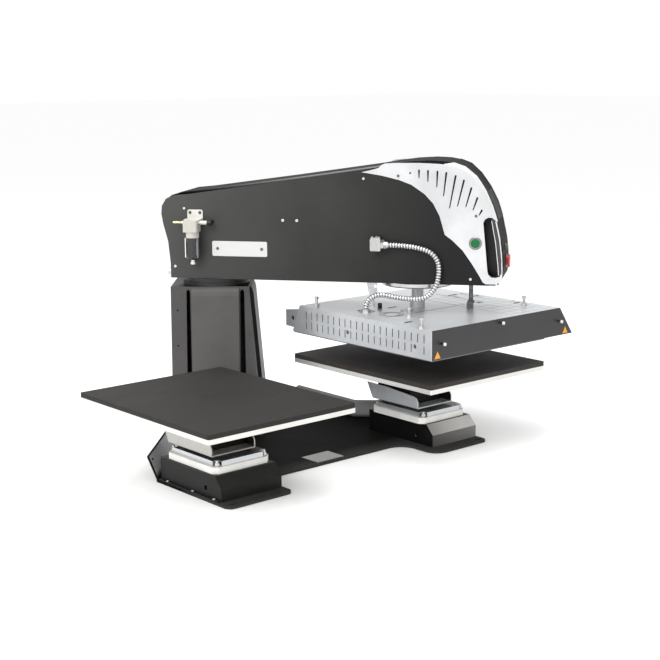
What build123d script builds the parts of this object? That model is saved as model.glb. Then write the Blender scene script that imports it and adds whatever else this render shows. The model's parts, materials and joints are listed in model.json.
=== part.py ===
from build123d import *
import math
import os

# Pneumatic swing-arm heat press with two lower platens.  Millimetres, +Z up,
# origin on the floor under the column's swing axis, the operator stands at -Y.

# ---- stations -------------------------------------------------------------
STATION_X = 316.5            # platen centres sit at +/- this
STATION_Y = -420.0
PLATEN_W = 400.0             # along X
PLATEN_D = 500.0             # along Y
BASE_T = 6.0
PEDESTAL_W = 168.0
PEDESTAL_SHIFT = 6.3         # both pedestals stand this far right of their platens
PEDESTAL_TOP = 60.0
MOUNT_T = 15.0
TRAY_TOP = 87.0
CHANNEL_W = 122.0
CHANNEL_Z = 92.0
PLATE_Z = 184.0              # underside of the aluminium platen
PAD_Z = 195.2
PAD_TOP = 206.0

# ---- column ---------------------------------------------------------------
COL_ANGLE = -41.0            # the square column stands nearly corner forward
COL_BACK = 110.0
COL_FRONT_TOP = 88.0
COL_FRONT_BASE = 119.0
COL_TOP = 388.0
SHEET = 3.0
BRACE_OUT = 9.0

# ---- arm ------------------------------------------------------------------
ARM_ANGLE = math.degrees(math.atan2(STATION_Y, STATION_X))
REACH = math.hypot(STATION_X, STATION_Y)
ARM_HALF = 80.0              # outer face of the side panels
ARM_Z = 407.0                # bottom of the arm
PULLEY_Z = 428.0
STOP_Z = 459.0               # height of the emergency stop
PULLEY_R = 45.0
SHAFT_R = 25.0
SPINDLE_R = 15.0

# ---- head -----------------------------------------------------------------
HEATER_Z = 263.0
HEATER_T = 24.0
HEAD_BOTTOM = 266.0
HEAD_TOP = 336.0
HEAD_LEFT = -203.0
HEAD_RIGHT_BASE = 300.0
HEAD_RIGHT_TOP = 251.0
HEAD_FRONT = -253.0
HEAD_REAR_BASE = 250.0
HEAD_REAR_TOP = 221.0
SIDE_SLOT_ROWS = ((278, 297), (304, 324))

# ---- press carriage -------------------------------------------------------
YOKE_Z = 527.0
YOKE_T = 18.0
STRUT_U = REACH + 135.0
GUIDE_U = REACH - 116.0

os.makedirs("parts", exist_ok=True)


# ---------------------------------------------------------------------------
# helpers
# ---------------------------------------------------------------------------
def slab(x0, x1, y0, y1, z0, z1):
    """Axis-aligned block between two corners."""
    return Pos((x0 + x1) / 2, (y0 + y1) / 2, (z0 + z1) / 2) * Box(x1 - x0, y1 - y0, z1 - z0)


def post(x, y, z0, z1, r):
    """Vertical cylinder."""
    return Pos(x, y, (z0 + z1) / 2) * Cylinder(r, z1 - z0)


def hexagon(x, y, z0, z1, r):
    """Vertical hexagonal prism, r across the corners."""
    return Pos(x, y, z0) * extrude(RegularPolygon(r, 6), z1 - z0)


def outline(points):
    """Flat face through the points, always facing up whichever way they run."""
    area = 0.0
    for i, (x, y) in enumerate(points):
        nx, ny = points[(i + 1) % len(points)]
        area += x * ny - nx * y
    ordered = list(points) if area > 0 else list(points)[::-1]
    return Polygon(*ordered, align=None)


def plan(points, z0, z1):
    """Vertical prism from a plan outline."""
    return Pos(0, 0, z0) * extrude(outline(points), z1 - z0)


def side(points, y0, y1):
    """Prism from an (x, z) outline between two y planes."""
    return Pos(0, y0, 0) * extrude(Plane.XZ * outline(points), -(y1 - y0))


def section(points, x0, x1):
    """Prism from a (y, z) outline between two x planes."""
    return Pos(x0, 0, 0) * extrude(Plane.YZ * outline(points), x1 - x0)


def pin_y(x, z, y0, y1, r):
    """Cylinder along Y."""
    return Pos(x, (y0 + y1) / 2, z) * Rot(90, 0, 0) * Cylinder(r, y1 - y0)


def pin_x(y, z, x0, x1, r):
    """Cylinder along X."""
    return Pos((x0 + x1) / 2, y, z) * Rot(0, 90, 0) * Cylinder(r, x1 - x0)


def round_plan(solid, spots, r):
    """Fillet the vertical edges nearest to the given plan points."""
    picked = []
    uprights = solid.edges().filter_by(Axis.Z)
    for (x, y) in spots:
        picked.append(min(uprights, key=lambda e: (e.center().X - x) ** 2 + (e.center().Y - y) ** 2))
    return fillet(picked, r)


def on_arm(shape):
    """Turn a part drawn along +X into the arm's rest direction."""
    return Rot(0, 0, ARM_ANGLE) * shape


def on_column(shape):
    """Turn a part drawn square into the column's corner-forward direction."""
    return Rot(0, 0, COL_ANGLE) * shape


def on_head(shape):
    """Move a part drawn about the head's centre over the right-hand station."""
    return Pos(STATION_X, STATION_Y, 0) * shape


def at_station(shape, sign):
    """Move a part drawn about a platen's centre to one of the stations."""
    return Pos(sign * STATION_X, STATION_Y, 0) * shape


def save(name, *shapes):
    """Write one node; several shapes become a group of separate solids."""
    solids = []
    for shape in shapes:
        solids.extend(shape.solids())
    body = solids[0] if len(solids) == 1 else Compound(children=solids)
    export_step(body, f"parts/{name}.step")
    print(name, len(solids), round(sum(s.volume for s in solids)))


# ---------------------------------------------------------------------------
# base and stations
# ---------------------------------------------------------------------------
def base_plate():
    """Floor plate with two front tabs and upturned flanges on both flanks."""
    deck = [(-403, -580), (-222, -580), (-222, -459), (226, -459), (226, -580), (411, -580),
            (411, -305), (303, -197), (303, 60), (173, 190), (-135, 190), (-135, 62), (-170, -8),
            (-170, -70), (-403, -303)]
    plate = plan(deck, 0, BASE_T)
    plate = round_plan(plate, [(-403, -580), (-222, -580), (411, -580)], 18)
    plate = round_plan(plate, [(226, -459)], 45)
    plate = round_plan(plate, [(226, -580)], 36)
    t = 4.0
    foot = [(-403, -303), (-174, -74), (-174 + t, -74 - t), (-403 + t, -303 - t)]
    lip = [(-411, -277), (-196, -62), (-196 + t, -62 - t), (-411 + t, -277 - t)]
    left = loft([Pos(0, 0, BASE_T - 1) * outline(foot).face(), Pos(0, 0, 56) * outline(lip).face()])
    right = plan([(411, -305), (303, -197), (303, 60), (303 - t, 60), (303 - t, -197 - 1.66),
                  (411 - 2.83, -305 - 2.83)], BASE_T, 56)
    right = right - section([(20, 80), (38, 56), (60, 40), (80, 40), (80, 80)], 280, 320)
    plate = plate + left + right
    for (x, y) in ((391, -564), (-378, -564), (-105, 165), (105, 165)):
        plate = plate - Pos(x, y, 3) * extrude(SlotOverall(26, 11), 10, both=True)
    slit = Pos(-396, -268, 46) * Rot(0, 0, 45) * Rot(90, 0, 0) * extrude(SlotOverall(15, 4), 25, both=True)
    return plate - slit


def rating_plate():
    """Blank data plate riveted to the floor plate."""
    return slab(-43, 40, -450, -390, BASE_T, BASE_T + 0.8)


def pedestal(left, flange):
    """Folded sheet box with a sloped front, open underneath, with its left edge and one foot flange."""
    h = PEDESTAL_W / 2
    outer = [(-121, BASE_T), (-121, 36), (-99, PEDESTAL_TOP), (111, PEDESTAL_TOP), (111, BASE_T)]
    inner = [(-118, BASE_T), (-118, 34.8), (-97.6, PEDESTAL_TOP - SHEET), (108, PEDESTAL_TOP - SHEET),
             (108, BASE_T)]
    box = section(outer, left, h) - section(inner, left + SHEET, h - SHEET)
    x0, x1, y0, y1 = flange
    box = box + slab(x0, x1, y0, y1, BASE_T, BASE_T + SHEET)
    return box - pin_x(-64, 27, left - 2, left + 5, 5.5)


def pedestal_screws(spots):
    """Dome screws through one pedestal's flange."""
    screws = []
    for (x, y) in spots:
        head = post(x, y, BASE_T + SHEET, BASE_T + SHEET + 2.6, 3.6)
        head = fillet(head.edges().sort_by(Axis.Z)[-1], 1.2)
        screws.append(head - hexagon(x, y, BASE_T + SHEET + 1.4, BASE_T + SHEET + 4, 1.7))
    return screws


def mounting_plate():
    """Thick white plate with clipped corners."""
    block = slab(-79, 79, -92, 96, PEDESTAL_TOP, PEDESTAL_TOP + MOUNT_T)
    return chamfer(block.edges().filter_by(Axis.Z), 12)


def adjuster_tray():
    """Galvanised tray with notched corners and a raised seat for the channel."""
    z0 = PEDESTAL_TOP + MOUNT_T
    tray = slab(-72, 72, -89, 91, z0, TRAY_TOP) - slab(-69, 69, -86, 88, z0, TRAY_TOP - SHEET)
    for x in (-72, 72):
        for y in (-89, 91):
            tray = tray - slab(x - 15, x + 15, y - 15, y + 15, z0, TRAY_TOP + 1)
    return tray + slab(-52, 40, -48, 80, TRAY_TOP, CHANNEL_Z)


def levelling_bolts():
    """Four levelling bolts at the tray's corners."""
    z0 = PEDESTAL_TOP + MOUNT_T
    bolts = []
    for x in (-65, 65):
        for y in (-82, 84):
            bolts.append(post(x, y, z0, z0 + 14, 3.4) + hexagon(x, y, z0 + 3, z0 + 8, 5.8))
    return bolts


def platen_channel():
    """Galvanised U channel, open to the front, flanges along the sides."""
    h = CHANNEL_W / 2
    web = slab(-h, h, -64, 101, CHANNEL_Z, CHANNEL_Z + SHEET)
    ear = [(-64, CHANNEL_Z), (101, CHANNEL_Z), (122, 132), (44, 130), (-47, 122), (-58, 119), (-64, 110)]
    walls = section(ear, -h, -h + SHEET) + section(ear, h - SHEET, h)
    body = web + walls
    return fillet(body.edges().filter_by(Axis.Y).sort_by(Axis.Z)[:2], 2.5)


def platen_riser():
    """Welded box, open below, that carries the platen inside the channel."""
    box = slab(-52, 52, -30, 90, CHANNEL_Z + SHEET, PLATE_Z)
    return box - slab(-47, 47, -25, 85, CHANNEL_Z, PLATE_Z - 6)


def lower_platen():
    """Aluminium bed plate."""
    bed = slab(-PLATEN_W / 2, PLATEN_W / 2, -PLATEN_D / 2, PLATEN_D / 2, PLATE_Z, PAD_Z)
    bed = fillet(bed.edges().filter_by(Axis.Z), 4)
    return chamfer(bed.edges().filter_by(Axis.Z, reverse=True).group_by(Axis.Z)[0], 1)


def silicone_pad():
    """Dark resilient pad on the bed."""
    pad = slab(-PLATEN_W / 2, PLATEN_W / 2, -PLATEN_D / 2, PLATEN_D / 2, PAD_Z, PAD_TOP)
    return fillet(pad.edges().filter_by(Axis.Z), 5)


# ---------------------------------------------------------------------------
# column
# ---------------------------------------------------------------------------
def front_offset(z):
    """Distance of the two sloped front faces from the swing axis."""
    return COL_FRONT_TOP + (COL_FRONT_BASE - COL_FRONT_TOP) * (COL_TOP - z) / (COL_TOP - BASE_T)


def column_block(inset, z0, z1):
    """Tapered square block, drawn square, with both front faces sloped."""
    def ring(z):
        f = front_offset(z) - inset
        b = COL_BACK - inset
        return Pos(0, 0, z) * Polygon((-b, b), (-b, -f), (f, -f), (f, b), align=None)
    return loft([ring(z0).face(), ring(z1).face()])


def column_shell():
    """Folded column with a lid and two long slots in each front face."""
    shell = column_block(0, BASE_T, COL_TOP) - column_block(SHEET, BASE_T, COL_TOP - 8)
    shell = shell - post(0, 0, COL_TOP - 20, COL_TOP + 5, SHAFT_R + 0.2)
    for (b0, b1, t0, t1) in ((-72, -58.5, -70, -61), (65, 79.5, 66, 76.5)):
        mid = (t0 + t1) / 2
        slot = [(b0, 60), (b1, 60), (t1, 374), (mid + 2.6, 379), (mid, 380.5), (mid - 2.6, 379), (t0, 374)]
        shell = shell - side(slot, -140, -80)
        shell = shell - Rot(0, 0, 90) * side([(-x, z) for (x, z) in slot], -140, -80)
    for z in (238, 328):
        shell = shell - pin_y(-93, z, -140, -80, 2.2)
    return on_column(shell)


def column_brace():
    """Tapered U stiffener standing on a sloped front face."""
    def face(z, d):
        return -front_offset(z) - d
    out = BRACE_OUT
    outer = [(face(BASE_T, 0), BASE_T), (face(BASE_T, out), BASE_T), (face(366, out), 366),
             (face(376, out - 1.5), 376), (face(382, out - 4), 382), (face(385, out - 7.5), 385),
             (face(385, 0), 385)]
    inner = [(face(BASE_T, 0), BASE_T), (face(BASE_T, out - SHEET), BASE_T),
             (face(366, out - SHEET), 366), (face(378, out - 6), 378), (face(378, 0), 378)]
    return section(outer, -57, 63) - section(inner, -57 + SHEET, 63 - SHEET)


def column_braces():
    """The pair of stiffeners, mirrored about the column's own diagonal."""
    left = column_brace()
    right = mirror(left, Plane(origin=(0, 0, 0), z_dir=(1, 1, 0)))
    return [on_column(left), on_column(right)]


def swing_shaft():
    """Fixed vertical shaft with the lower turntable flange."""
    shaft = post(0, 0, 340, 470, SHAFT_R) + post(0, 0, COL_TOP, COL_TOP + 8, 86)
    shaft = chamfer(shaft.edges().filter_by(GeomType.CIRCLE).sort_by(Axis.Z)[-1], 2)
    for k in range(6):
        a = math.radians(60 * k + 30)
        shaft = shaft + hexagon(70 * math.cos(a), 70 * math.sin(a), COL_TOP - 0.0, COL_TOP + 8, 6)
    return shaft


def pulley(x):
    """Toothed pulley blank with flanges."""
    body = post(x, 0, PULLEY_Z, PULLEY_Z + 24, PULLEY_R)
    rims = post(x, 0, PULLEY_Z, PULLEY_Z + 1.5, PULLEY_R + 4)
    return body + rims + post(x, 0, PULLEY_Z + 22.5, PULLEY_Z + 24, PULLEY_R + 4)


def fixed_pulley():
    """Pulley keyed to the fixed shaft."""
    return on_arm(pulley(0) - post(0, 0, PULLEY_Z - 1, PULLEY_Z + 30, SHAFT_R + 0.1))


# ---------------------------------------------------------------------------
# arm, drawn along +X, operator's left side at -Y
# ---------------------------------------------------------------------------
PANEL = [(-97.8, ARM_Z), (-97.8, 445), (-103, 500), (-115, 546), (-119, 570), (-117, 590), (-106, 608),
         (-90, 616), (-68, 619), (-48, 620.5), (390, 684), (470, 690), (560, 692), (622, 690), (655, 676),
         (683, 650), (704, 615), (720, 574), (731, 522), (736, 475), (735, 430), (727, 413), (712, ARM_Z)]
COVER = [(-92, ARM_Z + 1), (-92, 446), (-97, 500), (-109, 546), (-113, 570), (-111, 590), (-104, 606),
         (-92, 617), (-66, 625.5), (-20, 630), (60, 641), (208, 661), (340, 680),
         (430, 693), (470, 700), (520, 706.5), (566, 709), (600, 707.5), (625, 703), (652, 692), (678, 669),
         (700, 637), (718, 600), (732, 558), (742, 512), (746, 480), (747, 450), (744, 424), (734, ARM_Z + 1)]
NOSE = [(398, 679.5), (420, 684.5), (440, 690), (447, 697), (456, 701), (480, 702.5), (540, 703), (590, 701),
        (621, 697), (640, 691), (657, 682.5), (673, 670.5), (686, 656), (698, 638), (710, 616), (721, 590),
        (730, 561), (738, 525), (743, 485), (745, 450), (744.5, 425), (740, 416), (730, 411), (704.8, 411),
        (698, 415), (687, 434), (670, 461), (648, 492), (623, 516), (604, 530), (599, 547), (591, 575),
        (575, 605.5), (554, 628), (522, 650), (491, 661.6), (447, 672)]
VENTS = [((518.4, 678.6), (518.4, 677.2)), ((540.1, 685), (540.1, 668)), ((561.9, 684), (561.9, 659)),
         ((585, 682.6), (583.6, 646)), ((606.5, 679.7), (600.2, 624.4)), ((629, 672.3), (615, 595.3)),
         ((649.1, 661.8), (634.4, 600.2)), ((667.2, 643.6), (654.5, 599)), ((681.9, 620), (672.1, 591.5)),
         ((693, 590.3), (687, 579.4))]
BUTTON = (678.5, 510.5)
GRIP = [(697, 561), (701, 569), (709, 573.5), (718, 573), (727, 566), (737, 520), (743, 470), (742.5, 438),
        (738, 430), (728, 427), (718, 428), (711, 434), (708.5, 442)]
POCKET = [(697, 561), (701, 569), (708, 573), (714, 572.5), (716.5, 568), (726, 512), (732.5, 455),
          (734, 434), (728, 427), (718, 428), (711, 434), (708.5, 442)]
RAIL = [(717, 571), (723, 568.5), (726.5, 564), (736.5, 520), (742.5, 470), (742, 440), (738.5, 431.5),
        (734.6, 431), (733, 455), (726.5, 512), (717, 568)]


def arm_panel(y0, y1):
    """One side panel of the arm."""
    sheet = side(PANEL, y0, y1)
    mid = (y0 + y1) / 2
    sheet = sheet - pin_y(BUTTON[0], BUTTON[1], mid - 9, mid + 9, 14)
    return sheet - side([(694, 577), (750, 577), (750, 424), (704, 424)], mid - 9, mid + 9)


def arm_side_panel_left():
    """Side panel on the operator's left, with the elbow's hole."""
    return on_arm(arm_panel(-ARM_HALF + 2.5, -ARM_HALF + 5.5) - pin_y(432, 509, -90, -60, 9))


def arm_side_panel_right():
    """Side panel on the operator's right."""
    return on_arm(arm_panel(ARM_HALF - 5.5, ARM_HALF - 2.5))


def arm_top_cover():
    """Bent sheet that closes the arm's back, top and nose between the panels."""
    half = ARM_HALF - 5.8
    inner = []
    for i, (x, z) in enumerate(COVER):
        a = COVER[max(i - 1, 0)]
        b = COVER[min(i + 1, len(COVER) - 1)]
        length = math.hypot(b[0] - a[0], b[1] - a[1])
        inner.append((x + SHEET * (b[1] - a[1]) / length, z - SHEET * (b[0] - a[0]) / length))
    strip = side(COVER + inner[::-1], -half, half)
    return on_arm(strip - pin_x(0, STOP_Z, 700, 760, 12))


def arm_bottom_pan():
    """Bottom sheet with openings for the shafts and guides."""
    half = ARM_HALF - 5.8
    pan = slab(-88, 728, -half, half, ARM_Z, ARM_Z + SHEET)
    pan = pan - post(0, 0, ARM_Z - 5, ARM_Z + 9, 38.3) - post(REACH, 0, ARM_Z - 5, ARM_Z + 9, 40.3)
    pan = pan - post(STRUT_U, 0, ARM_Z - 5, ARM_Z + 9, 8)
    pan = pan - slab(GUIDE_U - 16, GUIDE_U + 16, -5, 5, ARM_Z - 5, ARM_Z + 9)
    for y0 in (-half, half - SHEET):
        pan = pan + slab(-88, 700, y0, y0 + SHEET, ARM_Z, ARM_Z + 22)
    return on_arm(pan)


def tapered_slot(a, b, r_a, r_b, y0, y1):
    """Cutter between two (x, z) points, rounded at both ends and narrowing to the second."""
    dx, dz = b[0] - a[0], b[1] - a[1]
    length = math.hypot(dx, dz)
    nx, nz = -dz / length, dx / length
    quad = [(a[0] + nx * r_a, a[1] + nz * r_a), (b[0] + nx * r_b, b[1] + nz * r_b),
            (b[0] - nx * r_b, b[1] - nz * r_b), (a[0] - nx * r_a, a[1] - nz * r_a)]
    return pin_y(a[0], a[1], y0, y1, r_a) + pin_y(b[0], b[1], y0, y1, r_b) + side(quad, y0, y1)


def nose_cover(sign):
    """Bright vented side cover over the nose, with a turned-in top lip."""
    y0, y1 = sorted((sign * ARM_HALF, sign * (ARM_HALF - 2.2)))
    cover = side(NOSE, y0, y1)
    for (a, b) in VENTS:
        cover = cover - tapered_slot(a, b, 2.4, 1.3, y0 - 2, y1 + 2)
    cover = cover - pin_y(BUTTON[0], BUTTON[1], y0 - 2, y1 + 2, 12.5)
    return on_arm(cover - side(GRIP, y0 - 2, y1 + 2))


def grip_pocket(sign):
    """Recessed hand hold behind the nose cover's opening."""
    def grow(d):
        cx = sum(p[0] for p in POCKET) / len(POCKET)
        cz = sum(p[1] for p in POCKET) / len(POCKET)
        out = []
        for (x, z) in POCKET:
            length = math.hypot(x - cx, z - cz)
            out.append((x + (x - cx) / length * d, z + (z - cz) / length * d))
        return out
    outer = side(grow(-0.4), 46, ARM_HALF - 0.6) - side(grow(-2.2), 48, ARM_HALF + 1)
    return on_arm(outer if sign > 0 else mirror(outer, Plane.XZ))


def grip_bar(sign):
    """Front rail of the hand hold, beside the recess."""
    bar = side(RAIL, ARM_HALF - 5.8, ARM_HALF + 0.6)
    return on_arm(bar if sign > 0 else mirror(bar, Plane.XZ))


def start_button(sign):
    """Sprung two-hand start button in the nose cover."""
    cap = pin_y(BUTTON[0], BUTTON[1], ARM_HALF - 16, ARM_HALF + 6, 10.5)
    cap = fillet(cap.edges().filter_by(GeomType.CIRCLE).sort_by(Axis.Y)[-1], 2.5)
    return on_arm(cap if sign > 0 else mirror(cap, Plane.XZ))


def start_button_bezel(sign):
    """Bright ring and threaded barrel round a start button."""
    ring = pin_y(BUTTON[0], BUTTON[1], ARM_HALF, ARM_HALF + 2.5, 15.5)
    ring = chamfer(ring.edges().filter_by(GeomType.CIRCLE).sort_by(Axis.Y)[-1], 1.2)
    ring = ring + pin_y(BUTTON[0], BUTTON[1], ARM_HALF - 18, ARM_HALF, 12.3)
    ring = ring - pin_y(BUTTON[0], BUTTON[1], ARM_HALF - 20, ARM_HALF + 5, 10.9)
    return on_arm(ring if sign > 0 else mirror(ring, Plane.XZ))


def emergency_stop_collar():
    """Flared collar and barrel of the emergency stop on the nose."""
    flare = pin_x(0, STOP_Z, 747.1, 749, 15.5)
    flare = chamfer(flare.edges().filter_by(GeomType.CIRCLE).sort_by(Axis.X)[-1], 1.5)
    collar = flare + pin_x(0, STOP_Z, 716, 747.1, 11.7)
    return on_arm(collar - pin_x(0, STOP_Z, 690, 760, 10.3))


def emergency_stop_button():
    """Mushroom head on a thick stem."""
    head = pin_x(0, STOP_Z, 752.5, 756.5, 16.5)
    head = fillet(head.edges().filter_by(GeomType.CIRCLE).sort_by(Axis.X)[-1], 2)
    return on_arm(head + pin_x(0, STOP_Z, 722, 752.5, 10))


def control_panel():
    """Blank control display on the nose's upper slope, and the round indicator lens above the stop."""
    seat = [(701.8, 633.3), (718, 600), (729.9, 564.3)]
    normals = [(0.9, 0.437), (0.926, 0.378), (0.949, 0.316)]
    back = [(x + 0.1 * nx, z + 0.1 * nz) for (x, z), (nx, nz) in zip(seat, normals)]
    front = [(x + 1.3 * nx, z + 1.3 * nz) for (x, z), (nx, nz) in zip(seat, normals)]
    lens = pin_x(0, 0, 0.1, 7, 8.5)
    lens = fillet(lens.edges().filter_by(GeomType.CIRCLE).sort_by(Axis.X)[-1], 2)
    lens = Pos(744.25, 0, 494) * Rot(0, -7.1, 0) * lens
    return [on_arm(side(front + back[::-1], -52, 52)), on_arm(lens)]


def arm_nameplate():
    """Blank nameplate riveted to the left side panel."""
    y1 = -ARM_HALF + 2.5
    plate = side([(14, 503.5), (157, 503.5), (157, 465.5), (14, 465.5)], y1 - 1.2, y1)
    plate = fillet(plate.edges().filter_by(Axis.Y), 4)
    for x in (28, 143):
        plate = plate + pin_y(x, 484.5, y1 - 2.2, y1 - 1.2, 3.2)
    return on_arm(plate)


def turntable_upper_ring():
    """Bearing flange under the arm, turning on the fixed shaft."""
    ring = post(0, 0, COL_TOP + 8.5, ARM_Z, 84) + post(0, 0, ARM_Z, 424, 38)
    return on_arm(ring - post(0, 0, 380, 430, SHAFT_R + 0.05))


def swivel_flange():
    """Round flange under the arm that carries the head's swivel."""
    ring = post(REACH, 0, 396, ARM_Z, 90) + post(REACH, 0, ARM_Z, 424, 40)
    ring = chamfer(ring.edges().filter_by(GeomType.CIRCLE).sort_by(Axis.Z)[0], 3)
    return on_arm(ring - post(REACH, 0, 380, 430, 28.05))


def head_pulley():
    """Swivel pulley; the spindle slides through it."""
    body = pulley(REACH) + post(REACH, 0, 399, PULLEY_Z, 28)
    return on_arm(body - post(REACH, 0, 380, 460, SPINDLE_R + 0.4))


def drive_belt():
    """Belt around both pulleys that keeps the head square to the base."""
    z0, z1 = PULLEY_Z + 2.5, PULLEY_Z + 21.5

    def loop(r):
        return post(0, 0, z0, z1, r) + post(REACH, 0, z0, z1, r) + slab(0, REACH, -r, r, z0, z1)
    return on_arm(loop(PULLEY_R + 2.6) - loop(PULLEY_R + 0.5))


def press_cylinder():
    """Pneumatic cylinder on its cross plate."""
    body = post(REACH, 0, 566, 680, 55) - post(REACH, 0, 578, 668, 45)
    plate = slab(REACH - 80, REACH + 80, -ARM_HALF + 6, ARM_HALF - 6, 560, 566)
    ends = plate
    for y0, y1 in ((-ARM_HALF + 6, -ARM_HALF + 9), (ARM_HALF - 9, ARM_HALF - 6)):
        ends = ends + slab(REACH - 80, REACH + 80, y0, y1, 548, 560)
    return on_arm(body + ends - post(REACH, 0, 540, 580, 10.5))


def press_yoke():
    """Piston, rod and cross yoke in one piece."""
    yoke = slab(GUIDE_U - 20, STRUT_U + 16, -24, 24, YOKE_Z, YOKE_Z + YOKE_T)
    yoke = fillet(yoke.edges().filter_by(Axis.Z), 8)
    yoke = yoke + post(REACH, 0, YOKE_Z + YOKE_T, 655, 10) + post(REACH, 0, 650, 664, 44.5)
    return on_arm(yoke - post(REACH, 0, YOKE_Z - 1, YOKE_Z + 12, SPINDLE_R + 0.05))


def guide_strut_front():
    """Front guide rod with its fork foot."""
    rod = post(STRUT_U, 0, 350, YOKE_Z, 5.5)
    foot = slab(STRUT_U - 10, STRUT_U + 6, -8, 8, HEAD_TOP + 0.8, 352)
    foot = foot - slab(STRUT_U - 11, STRUT_U + 2, -3, 3, HEAD_TOP, 347.5)
    nuts = hexagon(STRUT_U, 0, 352, 357, 9) + pin_y(STRUT_U - 5, 343, -10, 10, 3)
    return on_arm(rod + foot + nuts)


def guide_plate_rear():
    """Rear guide plate with its clevis foot."""
    u = GUIDE_U
    blade = side([(u - 13, 392), (u - 13, YOKE_Z), (u + 13, YOKE_Z), (u + 13, 372), (u + 4, 352),
                  (u - 5, 352)], -3, 3)
    blade = blade - pin_y(u + 8, 386, -10, 10, 4.5)
    foot = side([(u - 24, HEAD_TOP + 0.8), (u + 6, HEAD_TOP + 0.8), (u + 4, 353), (u - 10, 358),
                 (u - 20, 344)], -9, 9)
    return on_arm(blade + (foot - pin_y(u - 14, 342, -20, 20, 3)))


# ---------------------------------------------------------------------------
# air filter on the arm's left side
# ---------------------------------------------------------------------------
AIR_U = -29.0
AIR_Y = -ARM_HALF + 2.5


def air_filter_bracket():
    """Angle bracket that hangs the filter."""
    plate = slab(AIR_U - 20, AIR_U + 20, AIR_Y - 2.5, AIR_Y, 546, 582)
    plate = fillet(plate.edges().filter_by(Axis.Y).group_by(Axis.Z)[-1], 5)
    for x in (-13, 13):
        plate = plate + pin_y(AIR_U + x, 574.5, AIR_Y - 4, AIR_Y - 2.5, 3.4)
    return on_arm(plate + slab(AIR_U - 20, AIR_U + 20, AIR_Y - 34, AIR_Y, 557.7, 560.2))


def air_filter_body():
    """Die-cast body with ports to both sides."""
    y = AIR_Y - 27
    body = slab(AIR_U - 20, AIR_U + 17, y - 19, y + 19, 529, 557.5)
    body = fillet(body.edges().filter_by(Axis.Z), 5)
    return on_arm(body + post(AIR_U, y, 514, 529, 16.5))


def air_filter_bowl():
    """Bowl with its slotted guard."""
    y = AIR_Y - 27
    bowl = post(AIR_U, y, 459, 514, 17.5)
    bowl = fillet(bowl.edges().filter_by(GeomType.CIRCLE).sort_by(Axis.Z)[0], 6)
    bowl = bowl - post(AIR_U, y, 463, 516, 14.5)
    for k in range(4):
        a = math.radians(90 * k + 45)
        cut = Pos(AIR_U + 16.8 * math.cos(a), y + 16.8 * math.sin(a), 488) * Rot(0, 0, 90 * k + 45)
        bowl = bowl - cut * Box(3, 7, 34)
    return on_arm(bowl - post(AIR_U, y, 445, 466, 5.4))


def bowl_drain():
    """Push drain at the bottom of the bowl."""
    y = AIR_Y - 27
    stem = post(AIR_U, y, 447, 471, 5) + post(AIR_U, y, 447, 453, 6.5)
    return on_arm(stem)


def air_fittings():
    """Hose barb on the inlet, push elbow on the outlet and the exhaust silencer behind."""
    y = AIR_Y - 27
    barb = pin_x(y, 552, AIR_U - 26, AIR_U - 20, 4.5) + pin_x(y, 552, AIR_U - 50, AIR_U - 26, 2.3)
    for k in range(3):
        barb = barb + pin_x(y, 552, AIR_U - 47 + 6 * k, AIR_U - 44 + 6 * k, 3)
    outlet = pin_x(y, 552, AIR_U + 17, AIR_U + 39, 5.2) + pin_x(y, 552, AIR_U + 39, AIR_U + 50, 7)
    outlet = outlet + pin_y(AIR_U + 44.5, 552, y, AIR_Y, 4.2)
    exhaust = pin_x(-52, 421, -112, -92.3, 9) + pin_x(-52, 421, -107, -98, 10.5)
    return [on_arm(barb), on_arm(outlet), on_arm(exhaust)]


def arm_panel_bolts():
    """Button-head screws along the left side panel."""
    bolts = []
    y1 = -ARM_HALF + 2.5
    for (x, z, r, y) in ((198.5, 558.5, 3.6, y1), (234.5, 558.5, 3.6, y1), (-57.5, 585, 3.2, y1),
                         (-85, 437, 3.4, y1), (403, 664, 3.2, y1), (667.5, 422, 3.2, y1),
                         (489, 671.5, 3.2, -ARM_HALF), (679.5, 577, 3.2, -ARM_HALF)):
        bolts.append(on_arm(pin_y(x, z, y - 2.2, y, r) - pin_y(x, z, y - 2.4, y - 1.2, r * 0.45)))
    return bolts


# ---------------------------------------------------------------------------
# conduit between the arm and the head
# ---------------------------------------------------------------------------
HOSE_Y = -95.0
HOSE_R = 7.0
ROUTE = [(466, 504), (532, 504), (592, 480), (592, 412), (562, 372), (500, 372), (440, 384), (412, 362),
         (412, 345)]
ELBOW_END = 466.0
GLAND_TOP = 345.0


def conduit_elbow():
    """Square elbow block on the side panel, with its lid, nut and sleeve."""
    face = -ARM_HALF + 2.5
    block = slab(424, 450, HOSE_Y - 13, HOSE_Y + 11, 490, 520)
    block = chamfer(block.edges().filter_by(Axis.Y), 2)
    boss = pin_y(437, 506, HOSE_Y + 11, face, 14)
    lid = slab(425.5, 448.5, HOSE_Y - 11.5, HOSE_Y + 9.5, 520, 523)
    for (x, y) in ((429, HOSE_Y - 7.5), (445, HOSE_Y - 7.5), (437, HOSE_Y + 5.5)):
        lid = lid + post(x, y, 523, 525.5, 2.6)
    nut = Pos(450, HOSE_Y, 504) * Rot(0, 90, 0) * extrude(RegularPolygon(13, 6), 7)
    sleeve = pin_x(HOSE_Y, 504, 457, ELBOW_END, 9.5) + pin_x(HOSE_Y, 504, 459, 461, 10.6)
    return on_arm(block + boss + lid + nut + sleeve)


def conduit_gland():
    """Gland on the head's top cover."""
    u, w = 412.0, HOSE_Y
    nut = hexagon(u, w, HEAD_TOP, HEAD_TOP + 6, 13) + post(u, w, HEAD_TOP + 6, GLAND_TOP, 9.5)
    return on_arm(nut)


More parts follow.
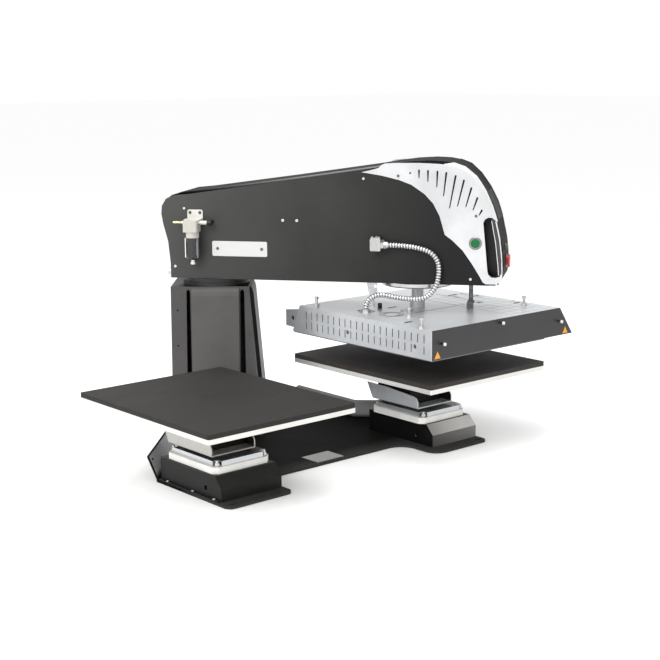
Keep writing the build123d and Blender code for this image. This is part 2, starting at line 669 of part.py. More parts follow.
def hose_path(points):
    """Straight runs joined by tangent arcs; also returns the arc radii."""
    radii = []
    for i in range(1, len(points) - 1):
        (ax, az), (bx, bz), (cx, cz) = points[i - 1], points[i], points[i + 1]
        l1, l2 = math.hypot(bx - ax, bz - az), math.hypot(cx - bx, cz - bz)
        dot = ((bx - ax) * (cx - bx) + (bz - az) * (cz - bz)) / (l1 * l2)
        turn = math.acos(max(-1.0, min(1.0, dot)))
        radii.append(0.45 * min(l1, l2) / math.tan(turn / 2))
    wire = FilletPolyline(*[(x, HOSE_Y, z) for (x, z) in points], radius=radii)
    return wire, radii


def flexible_conduit():
    """Metal conduit from the elbow to the gland."""
    wire, radii = hose_path(ROUTE)
    start = Plane(origin=wire @ 0, z_dir=wire % 0)
    tube = sweep(start * Circle(HOSE_R), path=wire)
    print("hose radii", [round(r, 1) for r in radii], "length", round(wire.length, 1),
          "volume ratio", round(tube.volume / (math.pi * HOSE_R ** 2 * wire.length), 4))
    return on_arm(tube)


# ---------------------------------------------------------------------------
# head, drawn about its own centre
# ---------------------------------------------------------------------------
def heater_platen():
    """Cast aluminium heating platen."""
    w, d, top = PLATEN_W / 2, PLATEN_D / 2, HEATER_Z + HEATER_T
    block = section([(-d, HEATER_Z), (d - 1, HEATER_Z), (d - 2.5, HEAD_BOTTOM), (d - 12.5, top), (-d, top)],
                    -w, w)
    return on_head(fillet(block.edges().filter_by(Axis.Z), 4))


def insulation_blanket():
    """Insulation between the heating platen and the carrier."""
    z0 = HEATER_Z + HEATER_T
    mat = slab(-192, 192, -240, 212, z0, z0 + 26)
    return on_head(mat - post(0, 0, z0 - 1, z0 + 40, 40))


def head_carrier():
    """Carrier plate with its boss, the spindle and the rear ear."""
    plate = slab(-150, 150, -200, 200, 317.2, 325) + post(0, 0, HEATER_Z + HEATER_T, 317.2, 34)
    spindle = post(0, 0, 325, 362, 19) + post(0, 0, 362, YOKE_Z + 11.5, SPINDLE_R)
    arm_ = slab(-190, -130, 180, 196, 317.2, 325)
    ear = section([(180, 317.2), (180, 325), (240, 322), (293, 315), (293, 273.5), (258, 272), (254, 292),
                   (226, 317.2)], -190, -186)
    return on_head(plate + spindle + arm_ + (ear - pin_x(266, 296, -200, -180, 6)))


def head_top_cover():
    """Folded cover: flat top and sloped rear."""
    t = 2.0
    top = slab(HEAD_LEFT + t, HEAD_RIGHT_TOP - 2.5, HEAD_FRONT + t, HEAD_REAR_TOP, HEAD_TOP - t, HEAD_TOP)
    rear = section([(HEAD_REAR_TOP, HEAD_TOP), (HEAD_REAR_TOP - t, HEAD_TOP - t),
                    (HEAD_REAR_BASE - t, HEAD_BOTTOM), (HEAD_REAR_BASE, HEAD_BOTTOM)],
                   HEAD_LEFT + t, 204)
    skin = top + rear - post(0, 0, 320, 345, 19.5)
    skin = skin - slab(-191, -185, 200, 260, 268, 331)
    for (x, y, a) in ((-165, -136, 8), (179, 36, 90), (228, 59, 90), (226, -3, 90), (164, -63, 0),
                      (242, -108, 0)):
        skin = skin - Pos(x, y, HEAD_TOP) * Rot(0, 0, a) * extrude(SlotOverall(26, 4), 6, both=True)
    return on_head(skin)


def head_side_cover():
    """Perforated cover on the left side."""
    t = 2.0
    sheet = section([(HEAD_FRONT, HEAD_BOTTOM), (HEAD_REAR_BASE, HEAD_BOTTOM), (HEAD_REAR_TOP, HEAD_TOP),
                     (HEAD_FRONT, HEAD_TOP)], HEAD_LEFT, HEAD_LEFT + t - 0.1)
    for k in range(21):
        y = 195 - 21.2 * k
        for (z0, z1) in SIDE_SLOT_ROWS:
            if z0 < 300 and min(abs(y - 37), abs(y + 199)) < 9:
                continue
            sheet = sheet - slab(HEAD_LEFT - 1, HEAD_LEFT + t + 1, y - 1.5, y + 1.5, z0, z1)
    for y in (37, -199):
        sheet = sheet - pin_x(y, 292.5, HEAD_LEFT - 1, HEAD_LEFT + t + 1, 5)
    return on_head(sheet)


def head_front_cover():
    """Dark front plate with a turned-in edge."""
    t = 2.0
    face = [(HEAD_LEFT + 2, HEAD_BOTTOM), (HEAD_RIGHT_BASE, HEAD_BOTTOM), (HEAD_RIGHT_TOP, HEAD_TOP),
            (HEAD_LEFT + 2, HEAD_TOP)]
    plate = side(face, HEAD_FRONT, HEAD_FRONT + t - 0.1)
    for (x, z) in STANDOFFS:
        plate = plate - pin_y(x, z, HEAD_FRONT - 1, HEAD_FRONT + t + 1, 3.2)
    return on_head(plate)


def head_right_cover():
    """Sloped cover over the wiring bay on the right, with its rear end."""
    t = 2.0
    y0, y1 = HEAD_FRONT + t, HEAD_REAR_TOP - 3
    top, foot = HEAD_RIGHT_TOP, HEAD_RIGHT_BASE
    slope = side([(top, HEAD_TOP), (top - t, HEAD_TOP - t), (foot - t - 0.6, HEAD_BOTTOM),
                  (foot, HEAD_BOTTOM)], y0, y1)
    end = side([(top - t, HEAD_TOP - t), (207, HEAD_TOP - t), (207, HEAD_BOTTOM), (foot - t, HEAD_BOTTOM)],
               y1 - t, y1)
    shelf = slab(207, foot - 4, y0, y1 - t, HEAD_BOTTOM, HEAD_BOTTOM + t)
    body = slope + end + shelf
    for k in range(18):
        y = 190 - 22 * k
        body = body - slab(262, 268, y - 1.5, y + 1.5, 300, 340)
    return on_head(body)


STANDOFFS = ((-170.5, 303), (29, 327), (245, 303))


def standoff_screws():
    """Stand-off screws in the front plate."""
    screws = []
    for (x, z) in STANDOFFS:
        stem = pin_y(x, z, HEAD_FRONT - 10, HEAD_FRONT + 12, 2.8)
        screws.append(on_head(stem + pin_y(x, z, HEAD_FRONT - 13, HEAD_FRONT - 10, 4)))
    return screws


def head_studs():
    """Adjusting studs with nuts on the head's top."""
    studs = []
    for (x, y) in ((-180, 181), (-113, -87), (-190, -207), (210, -170)):
        stud = post(x, y, HEAD_TOP, HEAD_TOP + 25, 3.5) + hexagon(x, y, HEAD_TOP, HEAD_TOP + 6, 7.5)
        studs.append(on_head(stud + hexagon(x, y, HEAD_TOP + 19, HEAD_TOP + 24, 6)))
    return studs


# ---------------------------------------------------------------------------
# write every node
# ---------------------------------------------------------------------------
def both(make, shift=0.0):
    """The same part at both stations."""
    part = Pos(shift, 0, 0) * make()
    return [at_station(part, -1), at_station(part, 1)]


def on_pedestal(part, station):
    """A part drawn about a pedestal's own centre, moved to its station."""
    return at_station(Pos(PEDESTAL_SHIFT, 0, 0) * part, station)


def both_groups(make):
    """The same group of parts at both pedestals."""
    return [on_pedestal(p, s) for s in (-1, 1) for p in make()]


save("base_plate", base_plate())
save("rating_plate", rating_plate())
save("pedestal_left", on_pedestal(pedestal(-84, (-92, -84, -118, 108)), -1))
save("pedestal_right", on_pedestal(pedestal(-70, (-66, 56, 111, 121)), 1))
for NAME, MAKE in (("platen_channel", platen_channel), ("lower_platen", lower_platen),
                   ("silicone_pad", silicone_pad)):
    LEFT, RIGHT = both(MAKE)
    save(NAME + "_left", LEFT)
    save(NAME + "_right", RIGHT)
LEFT_SCREWS = pedestal_screws(((-88.2, 78), (-88.2, -20), (-88.2, -100)))
RIGHT_SCREWS = pedestal_screws(((-55, 116), (-5, 116), (45, 116)))
save("pedestal_screws", *[on_pedestal(p, -1) for p in LEFT_SCREWS],
     *[on_pedestal(p, 1) for p in RIGHT_SCREWS])
save("mounting_plates", *both(mounting_plate, PEDESTAL_SHIFT))
save("adjuster_trays", *both(adjuster_tray, PEDESTAL_SHIFT))
save("levelling_bolts", *both_groups(levelling_bolts))
save("platen_risers", *both(platen_riser))
save("column_shell", column_shell())
save("column_braces", *column_braces())
save("swing_shaft", swing_shaft())
save("fixed_pulley", fixed_pulley())
save("turntable_upper_ring", turntable_upper_ring())
save("arm_side_panel_left", arm_side_panel_left())
save("arm_side_panel_right", arm_side_panel_right())
save("arm_top_cover", arm_top_cover())
save("arm_bottom_pan", arm_bottom_pan())
save("nose_cover_left", nose_cover(-1))
save("nose_cover_right", nose_cover(1))
save("grip_pockets", grip_pocket(-1), grip_pocket(1))
save("grip_bars", grip_bar(-1), grip_bar(1))
save("start_button_left", start_button(-1))
save("start_button_right", start_button(1))
save("start_button_bezels", start_button_bezel(-1), start_button_bezel(1))
save("emergency_stop_collar", emergency_stop_collar())
save("emergency_stop_button", emergency_stop_button())
save("control_panel", *control_panel())
save("arm_nameplate", arm_nameplate())
save("air_filter_bracket", air_filter_bracket())
save("air_filter_body", air_filter_body())
save("air_filter_bowl", air_filter_bowl())
save("bowl_drain", bowl_drain())
save("air_fittings", *air_fittings())
save("arm_panel_bolts", *arm_panel_bolts())
save("swivel_flange", swivel_flange())
save("head_pulley", head_pulley())
save("drive_belt", drive_belt())
save("press_cylinder", press_cylinder())
save("press_yoke", press_yoke())
save("guide_strut_front", guide_strut_front())
save("guide_plate_rear", guide_plate_rear())
save("conduit_elbow", conduit_elbow())
save("conduit_gland", conduit_gland())
save("flexible_conduit", flexible_conduit())
save("heater_platen", heater_platen())
save("insulation_blanket", insulation_blanket())
save("head_carrier", head_carrier())
save("head_top_cover", head_top_cover())
save("head_side_cover", head_side_cover())
save("head_front_cover", head_front_cover())
save("head_right_cover", head_right_cover())
save("standoff_screws", *standoff_screws())
save("head_studs", *head_studs())
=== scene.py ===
"""Looks of a swing-arm heat press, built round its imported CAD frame.  Metres, +Z up."""
import json
import math

import bpy
from mathutils import Matrix, Vector


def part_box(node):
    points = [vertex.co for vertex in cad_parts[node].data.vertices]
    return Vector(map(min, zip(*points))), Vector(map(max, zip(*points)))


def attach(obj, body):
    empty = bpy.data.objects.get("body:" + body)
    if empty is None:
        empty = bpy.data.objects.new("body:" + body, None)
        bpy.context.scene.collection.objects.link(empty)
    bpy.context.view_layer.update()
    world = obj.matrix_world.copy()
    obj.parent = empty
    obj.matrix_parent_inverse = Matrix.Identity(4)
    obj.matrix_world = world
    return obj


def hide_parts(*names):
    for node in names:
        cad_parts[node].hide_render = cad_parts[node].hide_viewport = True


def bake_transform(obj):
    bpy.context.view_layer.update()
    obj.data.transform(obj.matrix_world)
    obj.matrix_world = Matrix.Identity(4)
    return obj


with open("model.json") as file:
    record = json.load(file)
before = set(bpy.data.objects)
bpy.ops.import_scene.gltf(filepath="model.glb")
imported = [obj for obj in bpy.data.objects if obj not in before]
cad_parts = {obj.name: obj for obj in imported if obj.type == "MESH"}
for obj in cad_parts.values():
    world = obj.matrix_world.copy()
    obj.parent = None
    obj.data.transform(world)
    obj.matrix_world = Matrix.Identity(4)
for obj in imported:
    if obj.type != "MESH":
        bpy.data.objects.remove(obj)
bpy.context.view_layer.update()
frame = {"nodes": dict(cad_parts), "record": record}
nodes = frame["nodes"]

# ---------------------------------------------------------------------------
# layout, from the frame
# ---------------------------------------------------------------------------
pad_low, pad_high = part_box("silicone_pad_right")
STATION = (pad_low + pad_high) / 2
ARM_TURN = Matrix.Rotation(math.atan2(STATION.y, STATION.x), 4, "Z")
ALONG = ARM_TURN @ Vector((1, 0, 0))      # from the swing axis towards the nose
ACROSS = ARM_TURN @ Vector((0, 1, 0))     # away from the arm's left panel
RIGHT = Vector((1, 0, 0))
FRONT = Vector((0, -1, 0))                # towards the operator
UP = Vector((0, 0, 1))
PANEL_FACE = -0.0775                      # outer face of the arm's left panel, across the arm
COVER_FACE = -0.080                       # outer face of the pale nose cover
HEAD = Vector((STATION.x, STATION.y, 0))
HEAD_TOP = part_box("head_top_cover")[1].z
HEAD_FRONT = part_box("head_front_cover")[0].y - STATION.y


def arm_point(u, w, z):
    """A point given along, across and above the arm, in the row frame."""
    return ARM_TURN @ Vector((u, w, z))


# ---------------------------------------------------------------------------
# materials
# ---------------------------------------------------------------------------
class Look:
    """A node material built step by step."""

    def __init__(self, name):
        self.name = name
        self.mat = bpy.data.materials.new(name)
        self.mat.use_nodes = True
        self.tree = self.mat.node_tree
        self.tree.nodes.clear()
        self.out = self.add("ShaderNodeOutputMaterial")
        self.bsdf = self.add("ShaderNodeBsdfPrincipled")
        self.link(self.bsdf.outputs[0], self.out.inputs[0])
        self.coords = self.add("ShaderNodeTexCoord").outputs["Object"]
        self.normal = None

    def add(self, kind):
        return self.tree.nodes.new(kind)

    def link(self, a, b):
        self.tree.links.new(a, b)

    def noise(self, scale, detail=3.0, rough=0.5, stretch=(1, 1, 1)):
        """Cloudy noise in the object's own coordinates, drawn out where stretch is small."""
        mapping = self.add("ShaderNodeMapping")
        mapping.inputs["Scale"].default_value = stretch
        self.link(self.coords, mapping.inputs["Vector"])
        tex = self.add("ShaderNodeTexNoise")
        tex.inputs["Scale"].default_value = scale
        tex.inputs["Detail"].default_value = detail
        tex.inputs["Roughness"].default_value = rough
        self.link(mapping.outputs[0], tex.inputs["Vector"])
        return tex.outputs["Fac"]

    def ramp(self, fac, stops):
        """A value, or a colour, that runs through stops of (position, value)."""
        node = self.add("ShaderNodeValToRGB")
        elements = node.color_ramp.elements
        while len(elements) < len(stops):
            elements.new(0.5)
        for element, (pos, value) in zip(elements, stops):
            element.position = pos
            element.color = (value, value, value, 1) if isinstance(value, float) else (*value, 1)
        self.link(fac, node.inputs[0])
        return node.outputs[0]

    def mix(self, fac, a, b):
        """Colour a where fac is 0 and colour b where it is 1."""
        node = self.add("ShaderNodeMix")
        node.data_type = "RGBA"
        self.link(fac, node.inputs[0])
        for socket, value in ((node.inputs[6], a), (node.inputs[7], b)):
            if isinstance(value, tuple):
                socket.default_value = (*value, 1)
            else:
                self.link(value, socket)
        return node.outputs[2]

    def fade(self, value, low, high):
        """0 where a value is at low to 1 where it is at high, and held beyond them."""
        span = self.add("ShaderNodeMapRange")
        span.clamp = True
        span.inputs["From Min"].default_value = low
        span.inputs["From Max"].default_value = high
        self.link(value, span.inputs["Value"])
        return span.outputs[0]

    def measure(self, source, operation, vector):
        """One number from a vector socket and a fixed vector."""
        node = self.add("ShaderNodeVectorMath")
        node.operation = operation
        self.link(source, node.inputs[0])
        node.inputs[1].default_value = tuple(vector)
        return node.outputs["Value"]

    def along(self, direction, low, high):
        """A mask from 0 at low to 1 at high, by the place measured along a direction."""
        return self.fade(self.measure(self.coords, "DOT_PRODUCT", direction.normalized()), low, high)

    def facing(self, direction, low, high):
        """A mask from 0 at low to 1 at high, by how far the surface faces a direction."""
        normal = self.add("ShaderNodeNewGeometry").outputs["True Normal"]
        return self.fade(self.measure(normal, "DOT_PRODUCT", direction.normalized()), low, high)

    def near(self, point, radius, soft=0.0004):
        """A mask of 1 within a radius of a point and 0 outside."""
        return self.fade(self.measure(self.coords, "DISTANCE", point), radius + soft, radius - soft)

    def all_of(self, first, *others):
        """A mask of 1 where all of these masks are 1."""
        result = first
        for mask in others:
            node = self.add("ShaderNodeMath")
            node.operation = "MULTIPLY"
            self.link(result, node.inputs[0])
            self.link(mask, node.inputs[1])
            result = node.outputs[0]
        return result

    def bump(self, height, strength, distance):
        """Relief over what is there; distance is its full height."""
        node = self.add("ShaderNodeBump")
        node.inputs["Strength"].default_value = strength
        node.inputs["Distance"].default_value = distance
        self.link(height, node.inputs["Height"])
        if self.normal is not None:
            self.link(self.normal, node.inputs["Normal"])
        self.normal = node.outputs[0]
        self.link(self.normal, self.bsdf.inputs["Normal"])

    def set(self, socket, value):
        """Gives a shader socket a number, a colour or another socket."""
        target = self.bsdf.inputs[socket]
        if isinstance(value, (int, float)):
            target.default_value = value
        elif isinstance(value, tuple):
            target.default_value = (*value, 1)
        else:
            self.link(value, target)

    def color(self):
        """The socket that feeds the base colour now."""
        return self.bsdf.inputs["Base Color"].links[0].from_socket

    def paint(self, mask, color):
        """Another colour where the mask is 1, over what is there."""
        self.set("Base Color", self.mix(mask, self.color(), color))
        return self


def shade(color, k):
    """A darker or lighter version of a colour."""
    return tuple(min(1.0, c * k) for c in color)


def powder_coat(name, color, rough=0.42, grain=900, depth=0.00012, gloss=0.35, dusty=0.35):
    """Textured paint: fine grain, patchy sheen, a little dust and rub wear."""
    look = Look(name)
    patch = look.noise(7.0, 4.0, 0.6)
    fine = look.noise(grain, 2.0, 0.5)
    dust = look.noise(45.0, 6.0, 0.65)
    base = look.mix(look.ramp(patch, [(0.3, 0.0), (0.7, 1.0)]), shade(color, 0.84), shade(color, 1.16))
    speck = look.ramp(dust, [(0.60, 0.0), (0.80, dusty)])
    look.set("Base Color", look.mix(speck, base, shade(color, 1.6)))
    look.set("Roughness", look.ramp(patch, [(0.25, rough - 0.06), (0.75, rough + 0.08)]))
    look.set("Specular IOR Level", gloss)
    look.bump(fine, 0.35, depth)
    return look


def metal(name, color, rough=0.3, stretch=(1, 1, 1), scale=60.0, depth=0.00004, metallic=1.0,
          dark=0.88, stain=0.86):
    """Drawn or brushed metal: streaks in one direction, soft stains."""
    look = Look(name)
    streak = look.noise(scale, 4.0, 0.6, stretch)
    cloud = look.noise(9.0, 4.0, 0.55)
    base = look.mix(look.ramp(cloud, [(0.3, 0.0), (0.75, 1.0)]), shade(color, stain), shade(color, 1.06))
    clean = look.ramp(streak, [(0.35, 0.0), (0.65, 1.0)])
    look.set("Base Color", look.mix(clean, shade(color, dark), base))
    look.set("Metallic", metallic)
    look.set("Roughness", look.ramp(streak, [(0.3, rough - 0.05), (0.7, rough + 0.08)]))
    look.bump(streak, 0.25, depth)
    return look


def plastic(name, color, rough=0.35, grain=1400.0, depth=0.00005, coat=0.0, gloss=0.5):
    """Moulded plastic with a fine grain."""
    look = Look(name)
    fine = look.noise(grain, 2.0, 0.5)
    cloud = look.noise(25.0, 4.0, 0.6)
    look.set("Base Color", look.mix(look.ramp(cloud, [(0.3, 0.0), (0.7, 1.0)]), shade(color, 0.88),
                                    shade(color, 1.1)))
    look.set("Roughness", look.ramp(cloud, [(0.3, rough - 0.05), (0.7, rough + 0.07)]))
    look.set("Specular IOR Level", gloss)
    look.set("Coat Weight", coat)
    look.set("Coat Roughness", 0.08)
    look.bump(fine, 0.25, depth)
    return look


def silicone(name, color):
    """Silicone foam with pores, press marks and scuffs."""
    look = Look(name)
    pore = look.noise(650.0, 3.0, 0.6)
    cloud = look.noise(5.0, 5.0, 0.6, (1, 1.6, 1))
    scuff = look.noise(28.0, 6.0, 0.7)
    speck = look.noise(240.0, 3.0, 0.7)
    base = look.mix(look.ramp(cloud, [(0.3, 0.0), (0.75, 1.0)]), shade(color, 0.78), shade(color, 1.22))
    worn = look.mix(look.ramp(scuff, [(0.56, 0.0), (0.78, 0.45)]), base, shade(color, 2.0))
    dusty = look.ramp(speck, [(0.60, 0.0), (0.74, 0.35)])
    look.set("Base Color", look.mix(dusty, worn, shade(color, 2.4)))
    look.set("Roughness", look.ramp(cloud, [(0.3, 0.62), (0.7, 0.78)]))
    look.set("Specular IOR Level", 0.25)
    look.bump(pore, 0.4, 0.0002)
    look.bump(scuff, 0.12, 0.0006)
    return look


BLACK = (0.0135, 0.0132, 0.0128)
FINISHES = (
    powder_coat("black_powder_coat", BLACK, 0.40),
    metal("blank_plate", (0.86, 0.86, 0.84), 0.45, (1, 1, 14), depth=0.00002, metallic=0.15),
    metal("zinc_fasteners", (0.62, 0.61, 0.58), 0.30, scale=300.0, metallic=0.9),
    powder_coat("white_plate", (0.80, 0.79, 0.75), 0.4, 700, gloss=0.5),
    metal("galvanised_steel", (0.66, 0.69, 0.72), 0.34, scale=120.0, depth=0.00006, metallic=0.75),
    powder_coat("dark_steel", (0.020, 0.020, 0.021), 0.45),
    metal("platen_aluminium", (0.74, 0.73, 0.695), 0.36, (1, 1, 40), depth=0.00005, metallic=0.6),
    silicone("silicone_pad", (0.0205, 0.0180, 0.0165)),
    metal("machined_steel", (0.66, 0.67, 0.68), 0.26, (1, 1, 30), dark=0.7),
    metal("carrier_steel", (0.46, 0.47, 0.48), 0.34, (1, 1, 20), dark=0.75),
    metal("pulley_aluminium", (0.70, 0.70, 0.71), 0.32, (1, 1, 12)),
    plastic("belt_rubber", (0.02, 0.02, 0.02), 0.6),
    metal("cylinder_aluminium", (0.66, 0.67, 0.68), 0.3, (1, 1, 0.1)),
    powder_coat("silver_paint", (0.57, 0.575, 0.585), 0.42, 1600, 0.00005, gloss=0.4, dusty=0.1),
    plastic("black_plastic", (0.010, 0.010, 0.011), 0.42, gloss=0.35),
    plastic("grip_rail_finish", (0.022, 0.022, 0.026), 0.28, coat=0.3),
    metal("bezel_chrome", (0.30, 0.30, 0.31), 0.15, scale=200.0, depth=0.00001),
    plastic("green_plastic", (0.003, 0.13, 0.035), 0.25, coat=0.15, gloss=0.2),
    plastic("red_plastic", (0.50, 0.022, 0.012), 0.3, coat=0.4),
    powder_coat("filter_casting", (0.50, 0.485, 0.44), 0.4, 500, 0.0003, gloss=0.4, dusty=0.6),
    plastic("bowl_guard", (0.016, 0.016, 0.018), 0.3, coat=0.3),
    metal("plated_fittings", (0.80, 0.78, 0.70), 0.28, scale=200.0, metallic=0.7),
    metal("conduit_metal", (0.90, 0.90, 0.895), 0.22, scale=250.0, depth=0.00003),
    metal("fitting_metal", (0.66, 0.66, 0.655), 0.24, scale=220.0, dark=0.7, stain=0.75),
    metal("heater_aluminium", (0.20, 0.20, 0.21), 0.45, (1, 30, 1)),
    powder_coat("insulation_wool", (0.62, 0.58, 0.48), 0.8, 300, 0.0006),
    metal("head_silver", (0.66, 0.68, 0.70), 0.34, (30, 1, 1), scale=20.0, metallic=0.55, dark=0.84,
          stain=0.80),
    powder_coat("head_dark", (0.026, 0.026, 0.028), 0.42, 1200, gloss=0.4),
)
LOOKS = {look.name: look for look in FINISHES}      # by the record's material slot

# finishes of small details; the seam, inside, emboss and groove finishes are painted shade, the edge
# finish is painted highlight, the two guard finishes are painted light and shade
AMBER = plastic("amber_label", (0.72, 0.30, 0.012), 0.45)
SEAM = plastic("seam_shadow", (0.05, 0.05, 0.055), 0.6)
SHADOW = plastic("dark_inside", (0.006, 0.006, 0.007), 0.6, gloss=0.1)
# painted highlight for thin edges
EDGE_HIGHLIGHT = metal("painted_edge_highlight", (0.88, 0.88, 0.87), 0.22, metallic=0.6)
GUARD_PALE = powder_coat("pale_guard", (0.78, 0.77, 0.72), 0.35, gloss=0.5)
GUARD_GREY = plastic("grey_guard", (0.16, 0.16, 0.165), 0.35)
EMBOSS = metal("emboss_shade", (0.30, 0.31, 0.32), 0.4, metallic=0.5)
GROOVE = metal("groove_shadow", (0.34, 0.34, 0.34), 0.4)


# ---------------------------------------------------------------------------
# looks of single nodes, where one finish isn't enough
# ---------------------------------------------------------------------------
def floor_plate_paint():
    """Near-black deck, a darker copy of the black paint as painted shade; the inner faces of the
    upturned flanges are paler, as painted reflection on the right and painted light on the left, and the
    front strip is paler as painted light.
    """
    look = powder_coat("floor_plate_paint", shade(BLACK, 0.6), 0.62, gloss=0.02)
    raised = look.along(UP, 0.010, 0.022)
    flange = look.all_of(raised, look.facing(UP, 0.95, 0.80))
    on_the_right = look.all_of(look.along(RIGHT, 0.10, 0.14), look.facing(-RIGHT, 0.3, 0.5))
    on_the_left = look.all_of(look.along(RIGHT, -0.10, -0.14), look.facing(RIGHT + FRONT, 0.2, 0.4))
    # painted reflection on the right flange's inner face
    look.paint(look.all_of(flange, on_the_right), (0.34, 0.34, 0.345))
    # painted light on the left flange, which lies in shade under the left platen
    look.paint(look.all_of(flange, on_the_left), (0.62, 0.62, 0.63))
    # painted light on the deck's front strip
    front_deck = look.all_of(look.along(FRONT, 0.40, 0.462), look.along(UP, 0.012, 0.008))
    return look.paint(front_deck, (0.040, 0.040, 0.039))


def arm_panel_paint():
    """Black paint with painted light towards the swing axis and painted shade towards the nose."""
    look = powder_coat("arm_panel_paint", (0.032, 0.032, 0.030), 0.48, gloss=0.2)
    # painted light towards the swing axis
    look.paint(look.along(ALONG, 0.25, -0.11), (0.060, 0.060, 0.057))
    # painted shade towards the nose
    return look.paint(look.along(ALONG, 0.30, 0.62), (0.0085, 0.0085, 0.0085))


def top_cover_paint():
    """Dull black with a paler band along its edge over the left panel."""
    look = powder_coat("top_cover_paint", (0.0105, 0.0105, 0.0105), 0.62, gloss=0.06)
    near_edge = look.all_of(look.along(ACROSS, -0.056, -0.060), look.along(UP, 0.630, 0.668))
    return look.paint(look.all_of(near_edge, look.along(ALONG, 0.50, 0.44)), (0.20, 0.20, 0.20))


def column_paint():
    """Black paint, a lighter copy of the black paint as painted light, with a darker top."""
    # a lighter copy of the black paint: painted light
    look = powder_coat("column_paint", (0.066, 0.064, 0.063), 0.45, gloss=0.3)
    lid = look.all_of(look.along(UP, 0.370, 0.374), look.facing(UP, 0.75, 0.9))
    return look.paint(lid, (0.006, 0.006, 0.006))


def brace_paint():
    """Black paint, a lighter copy as painted light, with painted shade on the stiffeners' outer faces.
    """
    # a lighter copy of the black paint: painted light
    look = powder_coat("brace_paint", (0.082, 0.080, 0.078), 0.45, gloss=0.3)
    outward = Vector((0.758, -0.652, 0))      # square to the column's front face
    # painted shade on the stiffeners' outer faces
    return look.paint(look.along(outward, 0.086, 0.089), (0.004, 0.004, 0.004))


def right_pedestal_paint():
    """Black paint, a darker copy as painted shade, with a painted reflection of the light from the open
    side on its front and slope.
    """
    # a darker copy of the black paint: painted shade
    look = powder_coat("pedestal_right_paint", shade(BLACK, 0.3), 0.45, gloss=0.12)
    front = look.all_of(look.facing(FRONT, 0.55, 0.75), look.along(RIGHT, 0.17, 0.42))
    # painted reflection on the front
    look.paint(front, (0.23, 0.225, 0.22))
    slope = look.all_of(look.facing(UP, 0.30, 0.5), look.facing(FRONT, 0.30, 0.5),
                        look.along(RIGHT, 0.20, 0.36))
    # painted reflection on the slope
    return look.paint(slope, (0.52, 0.51, 0.50))


def channel_steel(side, centre, color):
    """Galvanised channel with painted shade inside, between its walls and above its floor."""
    look = metal(f"channel_steel_{side}", color, 0.34, scale=120.0, depth=0.00006, metallic=0.35)
    wall = 0.058                              # from the middle to a wall's inner face
    blur = 0.0002
    # painted shade inside the channel
    between = look.all_of(look.along(RIGHT, centre - wall - blur, centre - wall),
                          look.along(RIGHT, centre + wall + blur, centre + wall))
    return look.paint(look.all_of(between, look.along(UP, 0.0945, 0.0955)), (0.02, 0.02, 0.021))


def tray_steel():
    """Galvanised tray with painted shade on its top face."""
    look = metal("tray_steel", (0.62, 0.64, 0.66), 0.34, scale=120.0, depth=0.00006, metallic=0.75)
    # painted shade on the top face
    top = look.all_of(look.along(UP, 0.080, 0.082), look.facing(UP, 0.75, 0.9))
    return look.paint(top, (0.03, 0.03, 0.031))


def standoff_steel():
    """Dark stems with bright heads."""
    look = metal("standoff_steel", (0.025, 0.025, 0.026), 0.4, metallic=0.3)
    tip = -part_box("standoff_screws")[0].y
    return look.paint(look.along(FRONT, tip - 0.0035, tip - 0.0030), (0.72, 0.72, 0.71))


def panel_bolt_steel():
    """Bright on the black panel, dark where the screws hold the pale nose cover."""
    look = metal("panel_bolts", (0.72, 0.72, 0.70), 0.28, scale=300.0, metallic=0.85)
    for u, z in ((0.489, 0.6715), (0.6795, 0.577)):
        look.paint(look.near(arm_point(u, COVER_FACE, z), 0.008), (0.16, 0.16, 0.16))
    return look


def bracket_paint():
    """Cream paint with two dark screws."""
    look = powder_coat("bracket_cream", (0.62, 0.61, 0.57), 0.4, 500, 0.0001, gloss=0.5)
    for u in (-0.042, -0.016):
        look.paint(look.near(arm_point(u, -0.0810, 0.5745), 0.0042), (0.055, 0.05, 0.045))
    return look


def nameplate_face():
    """Blank plate with two dark rivets."""
    look = metal("nameplate_face", (0.68, 0.68, 0.665), 0.45, (1, 1, 14), depth=0.00002, metallic=0.15)
    for u in (0.028, 0.143):
        look.paint(look.near(arm_point(u, PANEL_FACE, 0.4845), 0.0042), (0.10, 0.10, 0.10))
    return look


def fitting_finish():
    """Brass barb, cream outlet with a black collar, grey silencer low at the back."""
    look = metal("fitting_cream", (0.62, 0.60, 0.54), 0.3, scale=200.0, metallic=0.45)
    look.paint(look.along(ALONG, -0.052, -0.056), (0.72, 0.62, 0.40))
    look.paint(look.along(ALONG, 0.0100, 0.0105), (0.010, 0.010, 0.011))
    return look.paint(look.along(UP, 0.436, 0.434), (0.62, 0.62, 0.60))


def display_face():
    """Blank black display with a grey indicator lens below it."""
    look = plastic("display_face", (0.009, 0.009, 0.010), 0.5, gloss=0.08)
    return look.paint(look.along(UP, 0.530, 0.520), (0.17, 0.165, 0.13))


